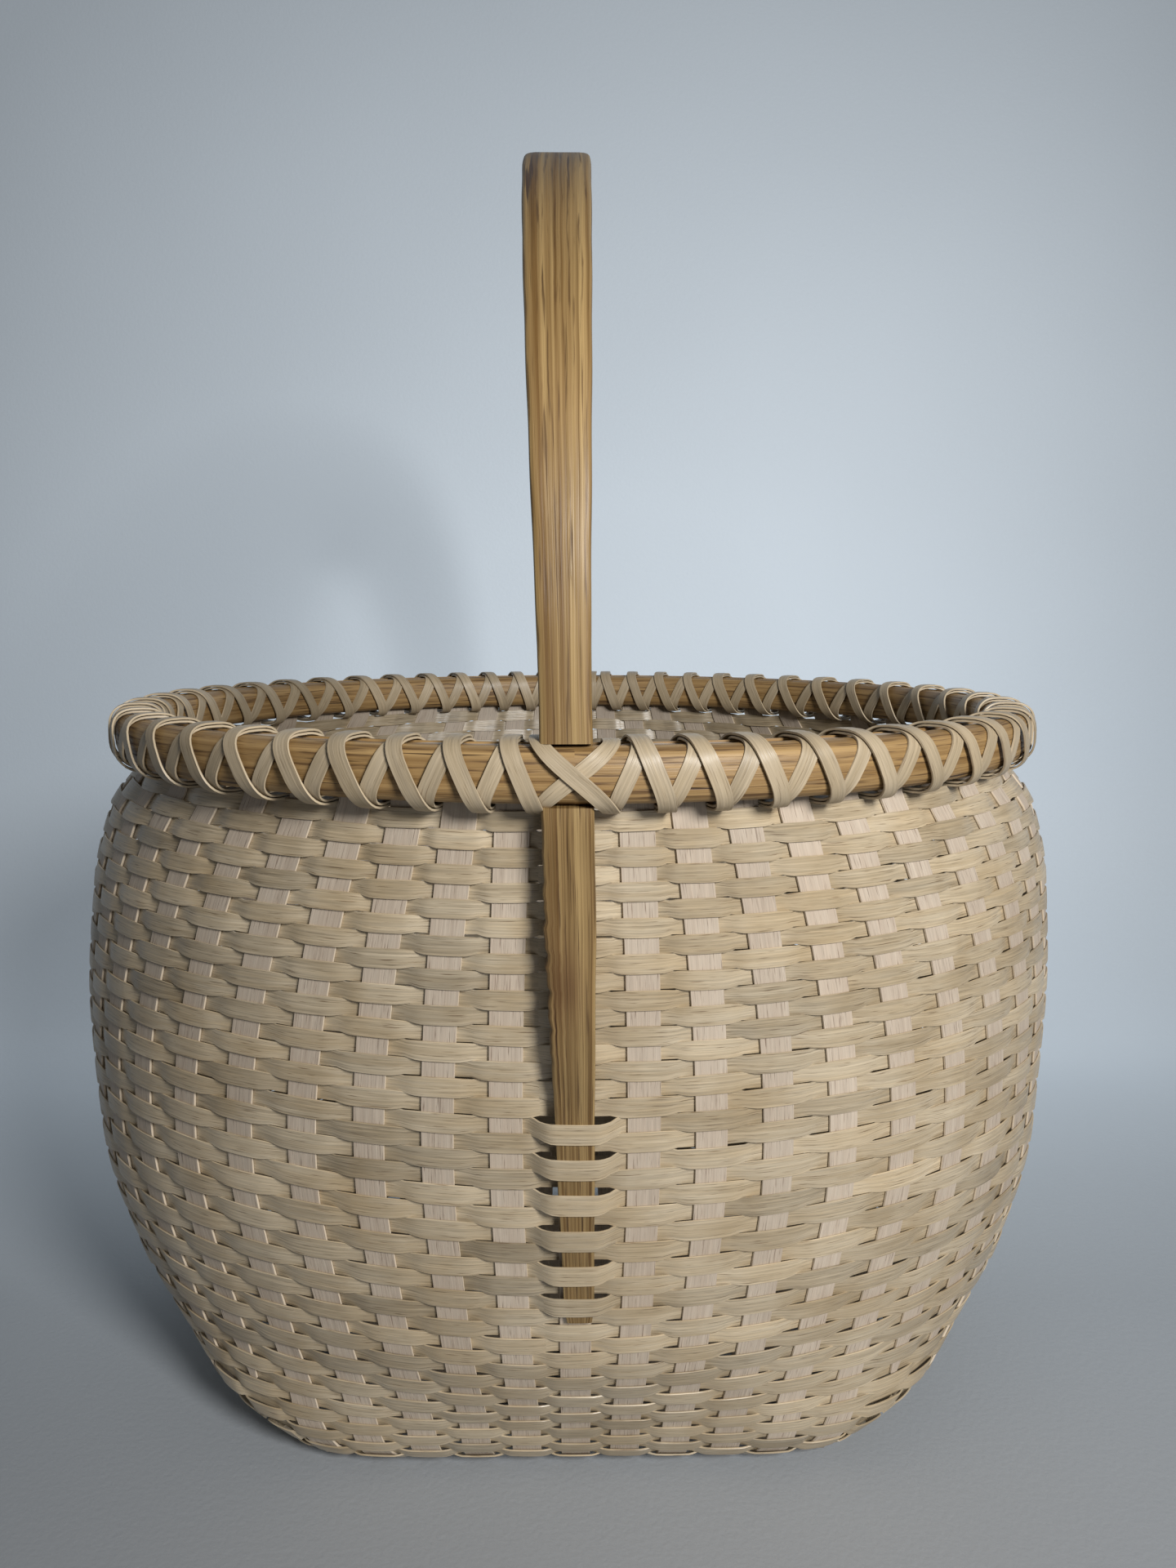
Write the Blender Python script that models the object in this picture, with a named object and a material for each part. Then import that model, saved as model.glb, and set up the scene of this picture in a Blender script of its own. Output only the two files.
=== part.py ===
"""Mushroom foraging basket: a splint body on a square plaited base, a lashed round rim and a fixed hoop handle.

Metres, +Z up. The origin is the middle of the base, on the ground. The handle's hoop stands in the YZ plane.

The body is one surface, wall_point(column, height share, offset): square at the base, round at the rim.
Columns are numbered from the front (-Y) anticlockwise seen from above, one to each upright. Half numbers are
the gaps between two uprights, where the lashing goes through. Uprights, weavers, hoops, lashing and handle
all read that surface.
"""
import math

import bpy
import numpy as np
from mathutils import Vector

# Body
RIM_HEIGHT = 0.2715
RIM_RADIUS = 0.179
BASE_HALF_WIDTH = 0.0990
BASE_HALF_DEPTH = 0.0955
BELLY_OVERHANG = 0.0160
NECK_INSET = 0.0143
CLEARANCE = 0.0003

# Splints
SPLINTS_PER_SIDE = 11
CORNER_UPRIGHTS = 2
SPLINT_WIDTH = 0.0100
SPLINT_THICKNESS = 0.0010
BASE_PITCH = 0.0163
WEAVER_LAYER = 0.0016
CORNER_START_HEIGHT = 0.034
CORNER_TIP_WIDTH = 0.004

# Rim
OUTER_HOOP_THICKNESS = 0.0065
INNER_HOOP_THICKNESS = 0.0060
HOOP_HEIGHT = 0.0160
FILLER_HEIGHT = 0.0022
LASHING_WIDTH = 0.0052
LASHING_HOLE_WIDTH = 0.0040
LASHING_THICKNESS = 0.0007
FACET_RISE = 0.0002
TURN_FOLDS = 4

# Handle
HANDLE_TOP_HEIGHT = 0.4728
HANDLE_STRAIGHT = 0.027
TONGUE_THICKNESS = 0.0033
LEG_THICKNESS = 0.0090
GRIP_THICKNESS = 0.0105
TAIL_THICKNESS = 0.0022
LEG_WIDTH = 0.0145
GRIP_WIDTH = 0.0245
TAIL_WIDTH = 0.0095
TAIL_TIP_HEIGHT = 0.081
HANDLE_EDGE = 0.0022
SHOULDER_SLOPE = 0.0002
ARC_STEPS = 26
GRIP_SWELL_POWER = 1.2
SHARP_ANGLE = math.radians(35)

# The body's outline below the collar: heights as shares of the rim's height, and the way that the sides and
# the front have come by then, as shares of the way from the base's half size to the widest half width or the
# neck's half depth.
OUTLINE_HEIGHT_SHARES = (0.0, 0.03, 0.10, 0.22, 0.38, 0.56, 0.76, 0.87)
SIDE_REACH_SHARES = (0.0, 0.15, 0.54, 0.88, 0.99, 1.0, 0.95, 0.86)
FRONT_REACH_SHARES = (0.0, 0.15, 0.29, 0.54, 0.69, 0.83, 0.95, 1.0)
LEVEL_SHARES = (0.035, 0.09, 0.17, 0.28, 0.42, 0.58, 0.74, 0.86)

# The body is square at the base and an ellipse above SQUARE_TOP_SHARE. Columns turn from their places on the
# base to their places on the belly below FOOT_TOP_SHARE, and to their places on the rim above NECK_SHARE.
SQUARE_TOP_SHARE = 0.35
SQUARE_POWER = 7.4
SQUARE_FADE = 5
FOOT_TOP_SHARE = 0.22
NECK_SHARE = 0.42
NECK_TURN = 1.5

# A rim hoop's half-round section: the flat of its edges as a share of its thickness, and its rounding's drop
HOOP_FLAT_SHARE = 0.68
HOOP_ROUND_SHARE = 0.22

# How far up the tucked part of a handle leg it has its full thickness and its full width
FULL_THICKNESS_SHARE = 0.63
FULL_WIDTH_SHARE = 0.77
TAIL_SWELL_POWER = 2

# Where the lashing crosses the rim's two top edges, as shares of the way to its next gap
TOP_CROSSING_SHARES = (0.42, 0.58)
HANDLE_CROSSING_SHARES = (1.0, 1.0)
CROSS_TURN_SHARES = (0.25, 0.75)
SAMPLE_SHARES = (0.0, 0.25, 0.5, 0.75)

# How columns stand apart, in degrees: on the belly they are swung toward the sides, on the rim toward front
# and back, where the gaps beside the handle are a little wider
BELLY_SWING = 9.5
BELLY_SKEW = -2.2
RIM_SWING = -7.0
HANDLE_SPREAD = 0.80
HANDLE_SPREAD_COLUMNS = 2.2

# Small steps for the wall's slopes
STEP_SHARE = 0.003
STEP_COLUMNS = 0.1

WIDEST_HALF_WIDTH = RIM_RADIUS + BELLY_OVERHANG
NECK_HALF_DEPTH = RIM_RADIUS - NECK_INSET
QUARTER = SPLINTS_PER_SIDE + CORNER_UPRIGHTS
COLUMNS = 4 * QUARTER
HALF_SIDE = QUARTER / 2
LAST_SIDE_GAP = SPLINTS_PER_SIDE / 2
UPRIGHT_OUTER = CLEARANCE / 2 + SPLINT_THICKNESS
WALL_INNER = CLEARANCE / 2 + WEAVER_LAYER
HOOP_BOTTOM = RIM_HEIGHT - HOOP_HEIGHT
WALL_TOP = RIM_HEIGHT - FILLER_HEIGHT - CLEARANCE
WALL_BOTTOM = 2 * (SPLINT_THICKNESS + CLEARANCE)
HOOP_INNER_RADIUS = RIM_RADIUS - OUTER_HOOP_THICKNESS
COLLAR_BOTTOM = HOOP_BOTTOM - 2 * (LASHING_THICKNESS + CLEARANCE) - CLEARANCE

MATERIALS = {
    "splint_weaver": ((0.50, 0.38, 0.24), 0.55),
    "splint_upright": ((0.56, 0.45, 0.35), 0.60),
    "hoop_oak": ((0.36, 0.20, 0.08), 0.50),
    "handle_wood": ((0.30, 0.17, 0.065), 0.48),
    "lashing": ((0.46, 0.38, 0.27), 0.50),
}


def clear_scene():
    for item in list(bpy.data.objects):
        bpy.data.objects.remove(item, do_unlink=True)


def make_material(name):
    color, roughness = MATERIALS[name]
    material = bpy.data.materials.new(name)
    material.use_nodes = True
    shader = material.node_tree.nodes["Principled BSDF"]
    shader.inputs["Base Color"].default_value = (*color, 1.0)
    shader.inputs["Roughness"].default_value = roughness
    shader.inputs["Metallic"].default_value = 0.0
    return material


def add_object(name, solid, material):
    points, faces = solid
    mesh = bpy.data.meshes.new(name)
    mesh.from_pydata(points, [], faces)
    mesh.validate()
    mesh.materials.append(material)
    mesh.shade_smooth()
    mesh.set_sharp_from_angle(angle=SHARP_ANGLE)
    item = bpy.data.objects.new(name, mesh)
    bpy.context.scene.collection.objects.link(item)
    return item


def loft(loops, ring=False):
    """A solid through like-sized loops of points, which run anticlockwise seen from the path's far end.

    A ring's last loop joins its first. Otherwise the two ends are capped. A twisted face of a ring, such as
    the wall, is folded toward the Z axis, and one of a strip that lies on it away from the axis, so that they
    stay clear.
    """
    count = len(loops[0])
    points = [point for loop in loops for point in loop]
    faces = []
    spans = len(loops) if ring else len(loops) - 1
    for row in range(spans):
        here, there = row * count, (row + 1) % len(loops) * count
        for k in range(count):
            after = (k + 1) % count
            a, b, c, d = here + k, here + after, there + after, there + k
            farther = (points[a] + points[c]).xy.length > (points[b] + points[d]).xy.length
            faces += [[a, b, c], [a, c, d]] if farther != ring else [[a, b, d], [b, c, d]]
    if not ring:
        faces.append(list(reversed(range(count))))
        faces.append([spans * count + k for k in range(count)])
    return points, faces


def smooth_value(places, values, place):
    """A smooth curve through the points that never swings past them (cubic, with monotone slopes)."""
    steps = [(values[i + 1] - values[i]) / (places[i + 1] - places[i]) for i in range(len(places) - 1)]
    slopes = [steps[0]]
    for before, after in zip(steps, steps[1:]):
        slopes.append(2 * before * after / (before + after) if before * after > 0 else 0.0)
    slopes.append(steps[-1])
    place = min(max(place, places[0]), places[-1])
    i = max(k for k in range(len(steps)) if places[k] <= place)
    width = places[i + 1] - places[i]
    t = (place - places[i]) / width
    start = values[i] * (1 + 2 * t) * (1 - t) ** 2 + slopes[i] * width * t * (1 - t) ** 2
    end = values[i + 1] * t * t * (3 - 2 * t) + slopes[i + 1] * width * t * t * (t - 1)
    return start + end


def rim_half_sizes():
    """The middle of the wall inside the hoops. The handle's tongue takes room at front and back."""
    half_width = HOOP_INNER_RADIUS - CLEARANCE - UPRIGHT_OUTER
    return half_width, half_width - TONGUE_THICKNESS - CLEARANCE


def outline_half_sizes(share):
    """Half width and half depth of the body at a height share."""
    places = OUTLINE_HEIGHT_SHARES + (COLLAR_BOTTOM / RIM_HEIGHT, 1.0)
    rim_width, rim_depth = rim_half_sizes()
    side_growth = WIDEST_HALF_WIDTH - BASE_HALF_WIDTH
    front_growth = NECK_HALF_DEPTH - BASE_HALF_DEPTH
    sides = [BASE_HALF_WIDTH + reach * side_growth for reach in SIDE_REACH_SHARES] + [rim_width, rim_width]
    fronts = [BASE_HALF_DEPTH + reach * front_growth for reach in FRONT_REACH_SHARES] + [rim_depth, rim_depth]
    return smooth_value(places, sides, share), smooth_value(places, fronts, share)


def swung_direction(column, swing, skew, spread):
    """Where a column stands round the body, swung from even steps away from the handle: (x, y) of length 1."""
    quarter, place = divmod(column, QUARTER)
    near, turning = (place, 1) if quarter % 2 == 0 else (QUARTER - place, -1)
    turn = math.pi * near / QUARTER
    away = swing * math.sin(turn) + skew * math.sin(2 * turn)
    away += spread * math.exp((0.5 - near) / HANDLE_SPREAD_COLUMNS) * min(2 * near, 1)
    angle = math.radians(90 * column / QUARTER + turning * away)
    return Vector((math.sin(angle), -math.cos(angle)))


def rim_direction(column):
    return swung_direction(column, RIM_SWING, 0, HANDLE_SPREAD)


def belly_direction(column):
    return swung_direction(column, BELLY_SWING, BELLY_SKEW, 0)


def base_direction(column):
    """Where a column stands on the square base: (x, y) of length 1."""
    side, place = divmod(column + HALF_SIDE, QUARTER)
    place -= HALF_SIDE
    half_size = BASE_HALF_WIDTH if side % 2 == 0 else BASE_HALF_DEPTH
    edge = LAST_SIDE_GAP * BASE_PITCH / half_size
    if abs(place) <= LAST_SIDE_GAP:
        share = abs(place) * BASE_PITCH / half_size
    else:
        share = edge + (1 - edge) * (abs(place) - LAST_SIDE_GAP) / (HALF_SIDE - LAST_SIDE_GAP)
    share = math.copysign(share, place)
    corners = {0: (share, -1), 1: (1, share), 2: (-share, 1), 3: (-1, -share)}
    x, y = corners[int(side) % 4]
    return Vector((x * BASE_HALF_WIDTH, y * BASE_HALF_DEPTH)).normalized()


def surface_point(column, share):
    column = column % COLUMNS
    foot = 1 - (1 - min(share / FOOT_TOP_SHARE, 1)) ** 2
    neck = min(max((share - NECK_SHARE) / (COLLAR_BOTTOM / RIM_HEIGHT - NECK_SHARE), 0), 1) ** NECK_TURN
    direction = base_direction(column).lerp(belly_direction(column), foot).lerp(rim_direction(column), neck)
    direction.normalize()
    half_width, half_depth = outline_half_sizes(share)
    power = 2 + SQUARE_POWER * max(0, 1 - share / SQUARE_TOP_SHARE) ** SQUARE_FADE
    reach = abs(direction.x / half_width) ** power + abs(direction.y / half_depth) ** power
    radius = reach ** (-1 / power)
    return Vector((radius * direction.x, radius * direction.y, share * RIM_HEIGHT))


def wall_point(column, share, offset):
    """A point on the wall, offset outward."""
    low, high = max(share - STEP_SHARE, 0), min(share + STEP_SHARE, 1)
    up = surface_point(column, high) - surface_point(column, low)
    along = surface_point(column + STEP_COLUMNS, share) - surface_point(column - STEP_COLUMNS, share)
    return surface_point(column, share) + along.cross(up).normalized() * offset


def wall_levels():
    """Height shares at which the wall bends, up to the splints' top. The corner uprights start at one."""
    bends = sorted([*LEVEL_SHARES, CORNER_START_HEIGHT / RIM_HEIGHT])
    return [WALL_BOTTOM / RIM_HEIGHT, *bends, COLLAR_BOTTOM / RIM_HEIGHT, WALL_TOP / RIM_HEIGHT]


def facet(column, share):
    """The flat of the wall that carries one upright: its middle, its direction along and its normal."""
    left, right = surface_point(column - 0.5, share), surface_point(column + 0.5, share)
    low, high = max(share - STEP_SHARE, 0), min(share + STEP_SHARE, 1)
    up = surface_point(column, high) - surface_point(column, low)
    along = (right - left).normalized()
    return (left + right) / 2, along, along.cross(up).normalized()


def weaver_wall():
    """The woven wall as one shell: the weavers, inside the uprights. Open at the top and over the base."""
    return wall_shell(wall_levels()[:-1])


def top_weaver():
    """The weaver that lies between the hoops, above the gaps of the lashing."""
    return wall_shell([HOOP_BOTTOM / RIM_HEIGHT, WALL_TOP / RIM_HEIGHT])


def wall_shell(shares):
    outer, inner = [], []
    for share in shares:
        outer.append([wall_point(k + 0.5, share, -CLEARANCE / 2) for k in range(COLUMNS)])
        inner.append([wall_point(k + 0.5, share, -WALL_INNER) for k in range(COLUMNS)])
    return loft(outer + inner[::-1], ring=True)


def strip_section(middle, half_width, normal, thickness):
    """Four corners of a flat strip's section."""
    rise = normal * thickness / 2
    return [middle - half_width - rise, middle + half_width - rise,
            middle + half_width + rise, middle - half_width + rise]


def leg_sections(column, shares, widths):
    """Sections of an upright up the outside of the wall."""
    sections = []
    for share, width in zip(shares, widths):
        middle, along, normal = facet(column, share)
        middle = middle + normal * (CLEARANCE + SPLINT_THICKNESS) / 2
        sections.append(strip_section(middle, along * width / 2, normal, SPLINT_THICKNESS))
    return sections


def crease_section(column, height, run):
    """The section where a splint turns from the base up the wall, along its foot. Its outer face is below."""
    middle, along, normal = facet(column, height / RIM_HEIGHT)
    middle = middle + normal * (CLEARANCE + SPLINT_THICKNESS) / 2
    middle.z = height
    along = Vector((along.x, along.y, 0)).normalized()
    across = run.cross(Vector((0, 0, 1)))
    half = along * SPLINT_WIDTH / 2 / abs(along.dot(across))
    return strip_section(middle, half, Vector((0, 0, -1)), SPLINT_THICKNESS)


def through_splint(first_column, second_column, height, run):
    """A splint that comes down one wall, crosses the base and goes up the far wall."""
    shares = wall_levels()
    widths = [SPLINT_WIDTH] * len(shares)
    down = list(reversed(leg_sections(first_column, shares, widths)))
    up = leg_sections(second_column, shares, widths)
    first = crease_section(first_column, height, run)
    second = crease_section(second_column, height, run)
    far_side = [[section[1], section[0], section[3], section[2]] for section in [second, *up]]
    return loft([*down, first, *far_side])


def crosswise_splint(place):
    return through_splint(place, 2 * QUARTER - place, SPLINT_THICKNESS / 2, Vector((0, 1, 0)))


def lengthwise_splint(place):
    height = SPLINT_THICKNESS * 1.5 + CLEARANCE
    return through_splint(QUARTER + place, 3 * QUARTER - place, height, Vector((-1, 0, 0)))


def corner_upright(column):
    """An upright added beside a corner once the wall has widened, with a pointed foot."""
    start = CORNER_START_HEIGHT / RIM_HEIGHT
    shares = [start] + [share for share in wall_levels() if share > start]
    widths = [CORNER_TIP_WIDTH] + [SPLINT_WIDTH] * (len(shares) - 1)
    return loft([[*reversed(section)] for section in leg_sections(column, shares, widths)])


def hoop_profile(thickness):
    """Half-round section of a rim hoop: distance out of its flat face, and height."""
    flat, drop = HOOP_FLAT_SHARE * thickness, HOOP_ROUND_SHARE * HOOP_HEIGHT
    return [(0, 0), (flat, 0), (thickness, drop), (thickness, HOOP_HEIGHT - drop), (flat, HOOP_HEIGHT),
            (0, HOOP_HEIGHT)]


def circle_point(column, radius, height):
    direction = rim_direction(column % COLUMNS)
    return Vector((direction.x * radius, direction.y * radius, height))


def outer_rim_hoop():
    rings = []
    for out, rise in hoop_profile(OUTER_HOOP_THICKNESS):
        radius = HOOP_INNER_RADIUS + out
        rings.append([circle_point(k + 0.5, radius, HOOP_BOTTOM + rise) for k in range(COLUMNS)])
    return loft(rings, ring=True)


def inner_rim_hoop():
    rings = []
    for out, rise in reversed(hoop_profile(INNER_HOOP_THICKNESS)):
        rings.append([inner_hoop_point(k + 0.5, out, HOOP_BOTTOM + rise) for k in range(COLUMNS)])
    return loft(rings, ring=True)


def inner_hoop_point(column, inward, height):
    """A point inside the wall, from the inner hoop's flat face inward."""
    point = wall_point(column, 1, -WALL_INNER - CLEARANCE - inward)
    point.z = height
    return point


def rim_filler(first_gap, last_gap):
    """The splint bundle that closes the rim's top between the hoops, from one handle leg to the other."""
    sections = []
    for step in range(last_gap - first_gap + 1):
        column = first_gap + 0.5 + step
        inner = inner_hoop_point(column, -CLEARANCE, RIM_HEIGHT)
        outer = circle_point(column, HOOP_INNER_RADIUS - CLEARANCE, RIM_HEIGHT)
        drop = Vector((0, 0, FILLER_HEIGHT))
        sections.append([inner - drop, inner, outer, outer - drop])
    return loft(sections)


def lashing_lift(layer):
    """Height of a pass's middle above the hoops: the second pass lies on the first."""
    return CLEARANCE + LASHING_THICKNESS / 2 + layer * (LASHING_THICKNESS + CLEARANCE)


def lashing_turn(start_gap, end_gap, lift):
    """The folds of one turn: up the outer hoop, over the top and down inside to the next gap.

    Over an upright the strip crosses the top halfway. Over a handle leg it reaches the far side first. Each
    fold has its place, the way it faces (outward, upward), its column and the strip's slant there (along,
    upward). Inside, the strip also clears the flats between the inner hoop's corners.
    """
    upright = round((start_gap + end_gap) / 2)
    shares = HANDLE_CROSSING_SHARES if upright % (2 * QUARTER) == 0 else TOP_CROSSING_SHARES
    way = end_gap - start_gap
    first, second = (start_gap + way * share for share in shares)
    outside, inside = RIM_RADIUS + lift, INNER_HOOP_THICKNESS + FACET_RISE + lift
    low, high = HOOP_BOTTOM - lift, RIM_HEIGHT + lift
    across = (-1, 0)
    folds = [(circle_point(start_gap, outside, low), (1, -1), start_gap, across)]
    if shares == HANDLE_CROSSING_SHARES:
        slant_way = (circle_point(first, outside, high) - folds[0][0]).xy.length
        slant = (-HOOP_HEIGHT, math.copysign(slant_way, way))
        for share in CROSS_TURN_SHARES:
            chord = circle_point(start_gap, outside, low).lerp(circle_point(first, outside, high), share)
            folds.append((chord, (1, 0), upright, slant))
    folds += [
        (circle_point(first, outside, high), (1, 1), first, across),
        (inner_hoop_point(second, inside, high), (-1, 1), second, across),
        (inner_hoop_point(end_gap, inside, low), (-1, -1), end_gap, across),
    ]
    return folds


def lashing_pass(layer):
    """One pass: an unbroken strip with a turn over each upright, narrow in the gaps under the hoops."""
    folds = []
    for column in range(COLUMNS):
        gaps = (column - 0.5, column + 0.5) if layer == 0 else (0.5 - column, -0.5 - column)
        folds += lashing_turn(*gaps, lashing_lift(layer))
    sections = []
    for middle, lean, column, slant in folds:
        out = rim_direction(column % COLUMNS)
        face = Vector((out.x * lean[0], out.y * lean[0], lean[1]))
        side = (Vector((-out.y, out.x, 0)) * slant[0] + Vector((0, 0, slant[1]))).normalized()
        width = LASHING_HOLE_WIDTH if lean[1] < 0 else LASHING_WIDTH
        sections.append(strip_section(middle, side * width / 2, face, LASHING_THICKNESS))
    print(f"lashing pass {layer + 1}: least gap to itself {least_own_gap(sections) * 1000:.1f} mm")
    return loft(sections)


def least_own_gap(sections):
    """The least distance between points on the strip that are nearly a turn or more apart along it."""
    samples = []
    for here, there in zip(sections, sections[1:]):
        samples += [[a.lerp(b, share) for a, b in zip(here, there)] for share in SAMPLE_SHARES]
    corners = np.array(samples)
    apart = (TURN_FOLDS - 1) * len(SAMPLE_SHARES)
    least = math.inf
    for i in range(len(corners) - apart):
        ways = corners[i + apart:].reshape(-1, 1, 3) - corners[i].reshape(1, -1, 3)
        least = min(least, np.linalg.norm(ways, axis=2).min())
    return least


def handle_seat(share):
    """The inner face of a leg against the wall at a height share, in the YZ plane: (distance out, height)."""
    levels = wall_levels()
    lower = max(level for level in levels[:-1] if level <= share)
    upper = levels[levels.index(lower) + 1]
    seats = []
    for level in (lower, upper):
        middle, _, normal = facet(0, level)
        seat = middle + normal * (UPRIGHT_OUTER + CLEARANCE)
        seats.append(Vector((-seat.y, seat.z)))
    return seats[0].lerp(seats[1], (share - lower) / (upper - lower))


def handle_section(inner, outward, thickness, width):
    """Eight corners round the handle: a slab with its long edges eased. inner is (y, z) of its inner face."""
    out = Vector((0, *outward))
    start = Vector((0, *inner))
    half, edge = width / 2, min(HANDLE_EDGE, thickness / 3)
    outline = [(-half, edge), (-half, thickness - edge), (edge - half, thickness), (half - edge, thickness),
               (half, thickness - edge), (half, edge), (half - edge, 0), (edge - half, 0)]
    return [start + Vector((x, 0, 0)) + out * depth for x, depth in outline]


def leg_stations():
    """(distance out, height, outward, thickness, width) up one leg, from the tail's tip to the arc."""
    tip = TAIL_TIP_HEIGHT / RIM_HEIGHT
    collar = COLLAR_BOTTOM / RIM_HEIGHT
    shares = [tip] + [level for level in wall_levels() if tip < level < collar] + [collar]
    stations = []
    for share in shares:
        seat = handle_seat(share)
        grown = (share - tip) / (collar - tip)
        swell = min(grown / FULL_THICKNESS_SHARE, 1) ** TAIL_SWELL_POWER
        thickness = TAIL_THICKNESS + (LEG_THICKNESS - TAIL_THICKNESS) * swell
        width = TAIL_WIDTH + (LEG_WIDTH - TAIL_WIDTH) * min(grown / FULL_WIDTH_SHARE, 1)
        stations.append((seat.x, seat.y, Vector((-1, 0)), thickness, width))
    seat = handle_seat(collar).x
    hoop_flat = circle_point(0.5, HOOP_INNER_RADIUS, 0).y
    tongue = -hoop_flat - CLEARANCE - seat
    shoulders = [
        (HOOP_BOTTOM - CLEARANCE - SHOULDER_SLOPE, LEG_THICKNESS),
        (HOOP_BOTTOM - CLEARANCE, tongue),
        (RIM_HEIGHT + CLEARANCE, tongue),
        (RIM_HEIGHT + CLEARANCE + SHOULDER_SLOPE, LEG_THICKNESS),
        (RIM_HEIGHT + HANDLE_STRAIGHT / 2, LEG_THICKNESS),
    ]
    for height, thickness in shoulders:
        stations.append((seat, height, Vector((-1, 0)), thickness, LEG_WIDTH))
    return stations


def handle():
    """The bent hoop: tail tucked into the weave, notch for the outer hoop, leg, arc, and the same behind."""
    front = leg_stations()
    seat = front[-1][0]
    arc_foot = RIM_HEIGHT + HANDLE_STRAIGHT
    arc_rise = HANDLE_TOP_HEIGHT - GRIP_THICKNESS - arc_foot
    sections = [handle_section((-y, z), outward, thick, width) for y, z, outward, thick, width in front]
    for step in range(ARC_STEPS + 1):
        angle = math.pi * step / ARC_STEPS
        inner = (-seat * math.cos(angle), arc_foot + arc_rise * math.sin(angle))
        outward = Vector((-math.cos(angle) * arc_rise, math.sin(angle) * seat)).normalized()
        swell = max(math.sin(angle), 0) ** GRIP_SWELL_POWER
        thickness = LEG_THICKNESS + (GRIP_THICKNESS - LEG_THICKNESS) * swell
        width = LEG_WIDTH + (GRIP_WIDTH - LEG_WIDTH) * swell
        sections.append(handle_section(inner, outward, thickness, width))
    for y, z, outward, thick, width in reversed(front):
        sections.append(handle_section((y, z), -outward, thick, width))
    return loft(sections)


def build():
    clear_scene()
    slots = {name: make_material(name) for name in MATERIALS}
    add_object("weaver_wall", weaver_wall(), slots["splint_weaver"])
    add_object("top_weaver", top_weaver(), slots["splint_weaver"])
    half = SPLINTS_PER_SIDE // 2
    for number in range(SPLINTS_PER_SIDE):
        place = number - half
        add_object(f"crosswise_splint_{number + 1:02d}", crosswise_splint(place), slots["splint_upright"])
        add_object(f"lengthwise_splint_{number + 1:02d}", lengthwise_splint(place), slots["splint_upright"])
    number = 0
    for corner in range(4):
        for extra in range(CORNER_UPRIGHTS):
            number += 1
            column = corner * QUARTER + half + 1 + extra
            add_object(f"corner_upright_{number:02d}", corner_upright(column), slots["splint_upright"])
    add_object("outer_rim_hoop", outer_rim_hoop(), slots["hoop_oak"])
    add_object("inner_rim_hoop", inner_rim_hoop(), slots["hoop_oak"])
    add_object("rim_filler_right", rim_filler(0, 2 * QUARTER - 1), slots["splint_upright"])
    add_object("rim_filler_left", rim_filler(2 * QUARTER, 4 * QUARTER - 1), slots["splint_upright"])
    add_object("handle", handle(), slots["handle_wood"])
    add_object("lashing_first_pass", lashing_pass(0), slots["lashing"])
    add_object("lashing_second_pass", lashing_pass(1), slots["lashing"])


build()
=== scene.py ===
"""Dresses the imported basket: each weaver row, upright, hoop and lashing strip is a woven piece of its own.

Metres, in the CAD part's frame. The wall is the CAD part's own surface, written again here, and
wall(column, share) gives a place on it. Columns are numbered from the front (-Y), anticlockwise seen from
above, one to each upright, and half numbers are the gaps between uprights. A share is a height as a share of
the rim's height.
"""
import math
from collections import namedtuple

import bpy
import numpy as np
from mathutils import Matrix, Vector


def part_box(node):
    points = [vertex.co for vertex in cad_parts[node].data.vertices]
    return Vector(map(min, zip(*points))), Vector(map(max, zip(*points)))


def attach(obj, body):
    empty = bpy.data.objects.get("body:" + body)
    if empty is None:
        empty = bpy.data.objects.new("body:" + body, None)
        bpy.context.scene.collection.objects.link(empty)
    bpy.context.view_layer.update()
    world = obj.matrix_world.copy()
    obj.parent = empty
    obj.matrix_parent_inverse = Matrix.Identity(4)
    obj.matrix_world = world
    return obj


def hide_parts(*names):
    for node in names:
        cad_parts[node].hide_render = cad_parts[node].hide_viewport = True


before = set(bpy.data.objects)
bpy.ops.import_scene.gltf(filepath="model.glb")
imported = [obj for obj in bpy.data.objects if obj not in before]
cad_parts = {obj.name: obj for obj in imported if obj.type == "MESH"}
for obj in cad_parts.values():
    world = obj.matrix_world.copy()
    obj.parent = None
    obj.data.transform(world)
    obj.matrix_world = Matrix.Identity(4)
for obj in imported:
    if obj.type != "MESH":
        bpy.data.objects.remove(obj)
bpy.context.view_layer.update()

SEED = 17
rng = np.random.default_rng(SEED)
TINY = 1e-12

# Body, from the CAD part's solids
RIM_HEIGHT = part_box("outer_rim_hoop")[1][2]
RIM_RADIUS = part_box("outer_rim_hoop")[1][0]
HOOP_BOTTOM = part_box("outer_rim_hoop")[0][2]
WALL_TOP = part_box("top_weaver")[1][2]
HANDLE_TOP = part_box("handle")[1][2]
BASE_HALF_WIDTH = 0.0990
BASE_HALF_DEPTH = 0.0955
WIDEST_HALF_WIDTH = 0.1950
NECK_HALF_DEPTH = 0.1647
OUTER_HOOP = 0.0065
INNER_HOOP = 0.0060
HOOP_SEAT = 0.00145
TONGUE_ROOM = 0.0036
COLLAR_DROP = 0.0023
HOOP_HEIGHT = RIM_HEIGHT - HOOP_BOTTOM
HOOP_MIDDLE = (HOOP_BOTTOM + RIM_HEIGHT) / 2
HOOP_INNER_RADIUS = RIM_RADIUS - OUTER_HOOP
RIM_HALF_WIDTH = HOOP_INNER_RADIUS - HOOP_SEAT
RIM_HALF_DEPTH = RIM_HALF_WIDTH - TONGUE_ROOM
COLLAR_BOTTOM = HOOP_BOTTOM - COLLAR_DROP
COLLAR_SHARE = COLLAR_BOTTOM / RIM_HEIGHT

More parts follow.
